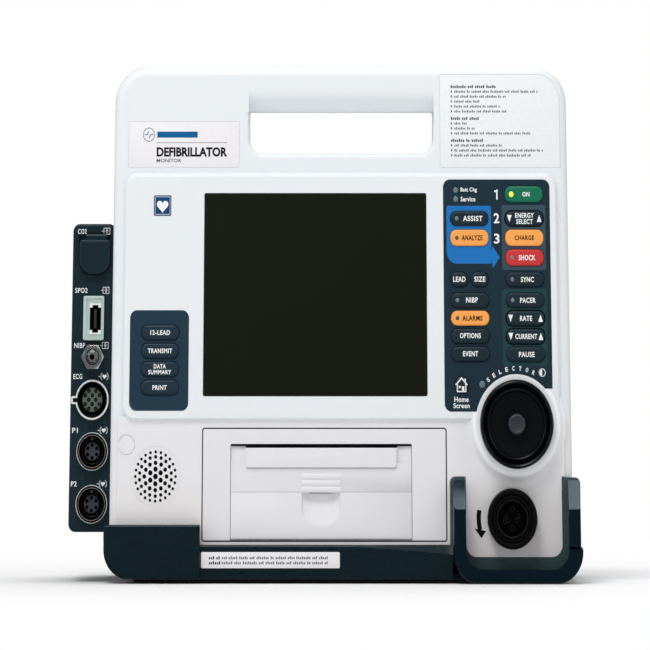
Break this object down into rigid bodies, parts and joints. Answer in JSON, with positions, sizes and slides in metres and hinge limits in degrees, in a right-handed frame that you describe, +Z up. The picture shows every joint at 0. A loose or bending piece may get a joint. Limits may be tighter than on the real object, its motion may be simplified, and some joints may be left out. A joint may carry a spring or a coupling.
{
  "type": "defibrillator",
  "caption": "Portable hospital monitor and defibrillator with a top grip, a 4:3 display, keys, a selector dial, cable sockets, a strip printer and removable batteries.",
  "frame": {"origin": "bottom centre of the whole object's box, on the surface it stands on", "axes": "+X to the operator's right, the front faces -Y, +Z up"},
  "size_m": [0.3772, 0.217, 0.3173],
  "materials": {
    "white_case": "fine-textured moulded plastic",
    "rear_case": "fine-textured moulded plastic",
    "tray_nylon": "glass-filled nylon",
    "guard_nylon": "glass-filled nylon, semi-gloss",
    "foot_rubber": "matte rubber",
    "display_glass": "anti-glare window",
    "display_frame": "stamped frame",
    "right_panel": "printed satin overlay",
    "left_panel": "printed satin overlay",
    "key_dark": "satin elastomer",
    "key_home": "satin elastomer",
    "key_green": "satin elastomer",
    "key_orange": "satin elastomer",
    "key_red": "satin elastomer",
    "dial_black": "satin moulded plastic",
    "plunger_steel": "turned steel",
    "encoder_housing": "moulded plastic",
    "therapy_black": "semi-gloss moulded plastic",
    "therapy_insert": "matte moulded plastic",
    "module_charcoal": "satin moulded plastic",
    "co2_lid": "satin elastomer",
    "co2_port": "moulded plastic",
    "spo2_frame": "moulded plastic",
    "nut_steel": "nickel-plated",
    "fitting_nickel": "nickel-plated",
    "ecg_ring": "moulded plastic",
    "ecg_insert": "moulded plastic",
    "socket_charcoal": "moulded plastic",
    "printer_white": "fine-textured moulded plastic",
    "door_white": "fine-textured moulded plastic",
    "print_head": "ceramic and steel",
    "platen_rubber": "ground rubber",
    "motor_can": "drawn steel",
    "pinion_brass": "hobbed brass",
    "paper": "thermal paper",
    "speaker_black": "steel basket and paper cone",
    "board_green": "solder resist",
    "capacitor_blue": "film sleeve",
    "battery_charcoal": "moulded plastic"
  },
  "bodies": {
    "housing": {"base_tray": "tray_nylon", "co2_port": "co2_port", "corner_guard": "guard_nylon", "dial_encoder": "encoder_housing", "display_module": "display_frame", "display_window": "display_glass", "ecg_insert": "ecg_insert", "ecg_socket": "ecg_ring", "energy_capacitor": "capacitor_blue", "foot_left": "foot_rubber", "foot_right": "foot_rubber", "front_case": "white_case", "left_key_panel": "left_panel", "main_board": "board_green", "nibp_fitting": "fitting_nickel", "nibp_nut": "nut_steel", "p1_socket": "socket_charcoal", "p2_socket": "socket_charcoal", "printer_frame": "printer_white", "printer_motor": "motor_can", "rear_case": "rear_case", "right_key_panel": "right_panel", "side_module": "module_charcoal", "speaker": "speaker_black", "spo2_socket": "spo2_frame", "therapy_board": "board_green", "therapy_insert": "therapy_insert", "therapy_socket": "therapy_black"},
    "key_on": {"key_on": "key_green"},
    "key_energy": {"key_energy": "key_dark"},
    "key_charge": {"key_charge": "key_orange"},
    "key_shock": {"key_shock": "key_red"},
    "key_sync": {"key_sync": "key_dark"},
    "key_pacer": {"key_pacer": "key_dark"},
    "key_rate": {"key_rate": "key_dark"},
    "key_current": {"key_current": "key_dark"},
    "key_pause": {"key_pause": "key_dark"},
    "key_assist": {"key_assist": "key_dark"},
    "key_analyze": {"key_analyze": "key_orange"},
    "key_lead": {"key_lead": "key_dark"},
    "key_size": {"key_size": "key_dark"},
    "key_nibp": {"key_nibp": "key_dark"},
    "key_alarms": {"key_alarms": "key_orange"},
    "key_options": {"key_options": "key_dark"},
    "key_event": {"key_event": "key_dark"},
    "key_home": {"key_home": "key_home"},
    "key_twelve_lead": {"key_twelve_lead": "key_dark"},
    "key_transmit": {"key_transmit": "key_dark"},
    "key_summary": {"key_summary": "key_dark"},
    "key_print": {"key_print": "key_dark"},
    "dial_plunger": {"dial_plunger": "plunger_steel"},
    "selector_dial": {"selector_dial": "dial_black"},
    "co2_cover": {"co2_cover": "co2_lid"},
    "printer_door": {"printer_door": "door_white", "print_head": "print_head"},
    "platen_roller": {"platen_roller": "platen_rubber"},
    "motor_pinion": {"motor_pinion": "pinion_brass"},
    "paper_roll": {"paper_roll": "paper"},
    "battery_1": {"battery_1": "battery_charcoal"},
    "battery_2": {"battery_2": "battery_charcoal"}
  },
  "joints": [
    {"name": "battery_1_slide", "type": "slide", "parent": "housing", "child": "battery_1", "axis": [0, 1, 0], "range_m": [0, 0.09]},
    {"name": "battery_2_slide", "type": "slide", "parent": "housing", "child": "battery_2", "axis": [0, 1, 0], "range_m": [0, 0.09]},
    {"name": "co2_cover_hinge", "type": "hinge", "parent": "housing", "child": "co2_cover", "pos_m": [-0.1711, -0.0676, 0.2106], "axis": [-1, 0, 0], "range_deg": [0, 100]},
    {"name": "dial_press", "type": "slide", "parent": "housing", "child": "dial_plunger", "axis": [0, 1, 0], "range_m": [0, 0.0008], "stiffness_N_per_m": 900},
    {"name": "dial_turn", "type": "hinge", "parent": "dial_plunger", "child": "selector_dial", "pos_m": [0.1414, -0.09, 0.0953], "axis": [0, 1, 0], "continuous": true},
    {"name": "door_hinge", "type": "hinge", "parent": "housing", "child": "printer_door", "pos_m": [-0.0026, -0.0876, 0.0271], "axis": [1, 0, 0], "range_deg": [0, 75]},
    {"name": "feed_roller_turn", "type": "hinge", "parent": "housing", "child": "platen_roller", "pos_m": [0, -0.076, 0.0735], "axis": [1, 0, 0], "continuous": true},
    {"name": "motor_turn", "type": "hinge", "parent": "housing", "child": "motor_pinion", "pos_m": [0.058, -0.06376, 0.0765], "axis": [1, 0, 0], "continuous": true},
    {"name": "paper_turn", "type": "hinge", "parent": "housing", "child": "paper_roll", "pos_m": [0, -0.056, 0.049], "axis": [1, 0, 0], "continuous": true},
    {"name": "press_on", "type": "slide", "parent": "housing", "child": "key_on", "axis": [0, 1, 0], "range_m": [0, 0.001], "stiffness_N_per_m": 600},
    {"name": "press_charge", "type": "slide", "parent": "housing", "child": "key_charge", "axis": [0, 1, 0], "range_m": [0, 0.001], "stiffness_N_per_m": 600},
    {"name": "press_shock", "type": "slide", "parent": "housing", "child": "key_shock", "axis": [0, 1, 0], "range_m": [0, 0.001], "stiffness_N_per_m": 600},
    {"name": "press_sync", "type": "slide", "parent": "housing", "child": "key_sync", "axis": [0, 1, 0], "range_m": [0, 0.001], "stiffness_N_per_m": 600},
    {"name": "press_pacer", "type": "slide", "parent": "housing", "child": "key_pacer", "axis": [0, 1, 0], "range_m": [0, 0.001], "stiffness_N_per_m": 600},
    {"name": "press_pause", "type": "slide", "parent": "housing", "child": "key_pause", "axis": [0, 1, 0], "range_m": [0, 0.001], "stiffness_N_per_m": 600},
    {"name": "press_assist", "type": "slide", "parent": "housing", "child": "key_assist", "axis": [0, 1, 0], "range_m": [0, 0.001], "stiffness_N_per_m": 600},
    {"name": "press_analyze", "type": "slide", "parent": "housing", "child": "key_analyze", "axis": [0, 1, 0], "range_m": [0, 0.001], "stiffness_N_per_m": 600},
    {"name": "press_lead", "type": "slide", "parent": "housing", "child": "key_lead", "axis": [0, 1, 0], "range_m": [0, 0.001], "stiffness_N_per_m": 600},
    {"name": "press_size", "type": "slide", "parent": "housing", "child": "key_size", "axis": [0, 1, 0], "range_m": [0, 0.001], "stiffness_N_per_m": 600},
    {"name": "press_nibp", "type": "slide", "parent": "housing", "child": "key_nibp", "axis": [0, 1, 0], "range_m": [0, 0.001], "stiffness_N_per_m": 600},
    {"name": "press_alarms", "type": "slide", "parent": "housing", "child": "key_alarms", "axis": [0, 1, 0], "range_m": [0, 0.001], "stiffness_N_per_m": 600},
    {"name": "press_options", "type": "slide", "parent": "housing", "child": "key_options", "axis": [0, 1, 0], "range_m": [0, 0.001], "stiffness_N_per_m": 600},
    {"name": "press_event", "type": "slide", "parent": "housing", "child": "key_event", "axis": [0, 1, 0], "range_m": [0, 0.001], "stiffness_N_per_m": 600},
    {"name": "press_home", "type": "slide", "parent": "housing", "child": "key_home", "axis": [0, 1, 0], "range_m": [0, 0.001], "stiffness_N_per_m": 600},
    {"name": "press_twelve_lead", "type": "slide", "parent": "housing", "child": "key_twelve_lead", "axis": [0, 1, 0], "range_m": [0, 0.001], "stiffness_N_per_m": 600},
    {"name": "press_transmit", "type": "slide", "parent": "housing", "child": "key_transmit", "axis": [0, 1, 0], "range_m": [0, 0.001], "stiffness_N_per_m": 600},
    {"name": "press_summary", "type": "slide", "parent": "housing", "child": "key_summary", "axis": [0, 1, 0], "range_m": [0, 0.001], "stiffness_N_per_m": 600},
    {"name": "press_print", "type": "slide", "parent": "housing", "child": "key_print", "axis": [0, 1, 0], "range_m": [0, 0.001], "stiffness_N_per_m": 600},
    {"name": "rock_energy", "type": "hinge", "parent": "housing", "child": "key_energy", "pos_m": [0.149, -0.084, 0.2214], "axis": [0, 0, 1], "range_deg": [-3, 3], "stiffness_Nm_per_rad": 0.15},
    {"name": "rock_rate", "type": "hinge", "parent": "housing", "child": "key_rate", "pos_m": [0.149, -0.084, 0.1597], "axis": [0, 0, 1], "range_deg": [-3, 3], "stiffness_Nm_per_rad": 0.15},
    {"name": "rock_current", "type": "hinge", "parent": "housing", "child": "key_current", "pos_m": [0.149, -0.084, 0.1486], "axis": [0, 0, 1], "range_deg": [-3, 3], "stiffness_Nm_per_rad": 0.15}
  ],
  "couplings": [
    {"joint": "motor_turn", "follows": "feed_roller_turn", "ratio": -2},
    {"joint": "paper_turn", "follows": "feed_roller_turn", "ratio": -0.30303}
  ]
}
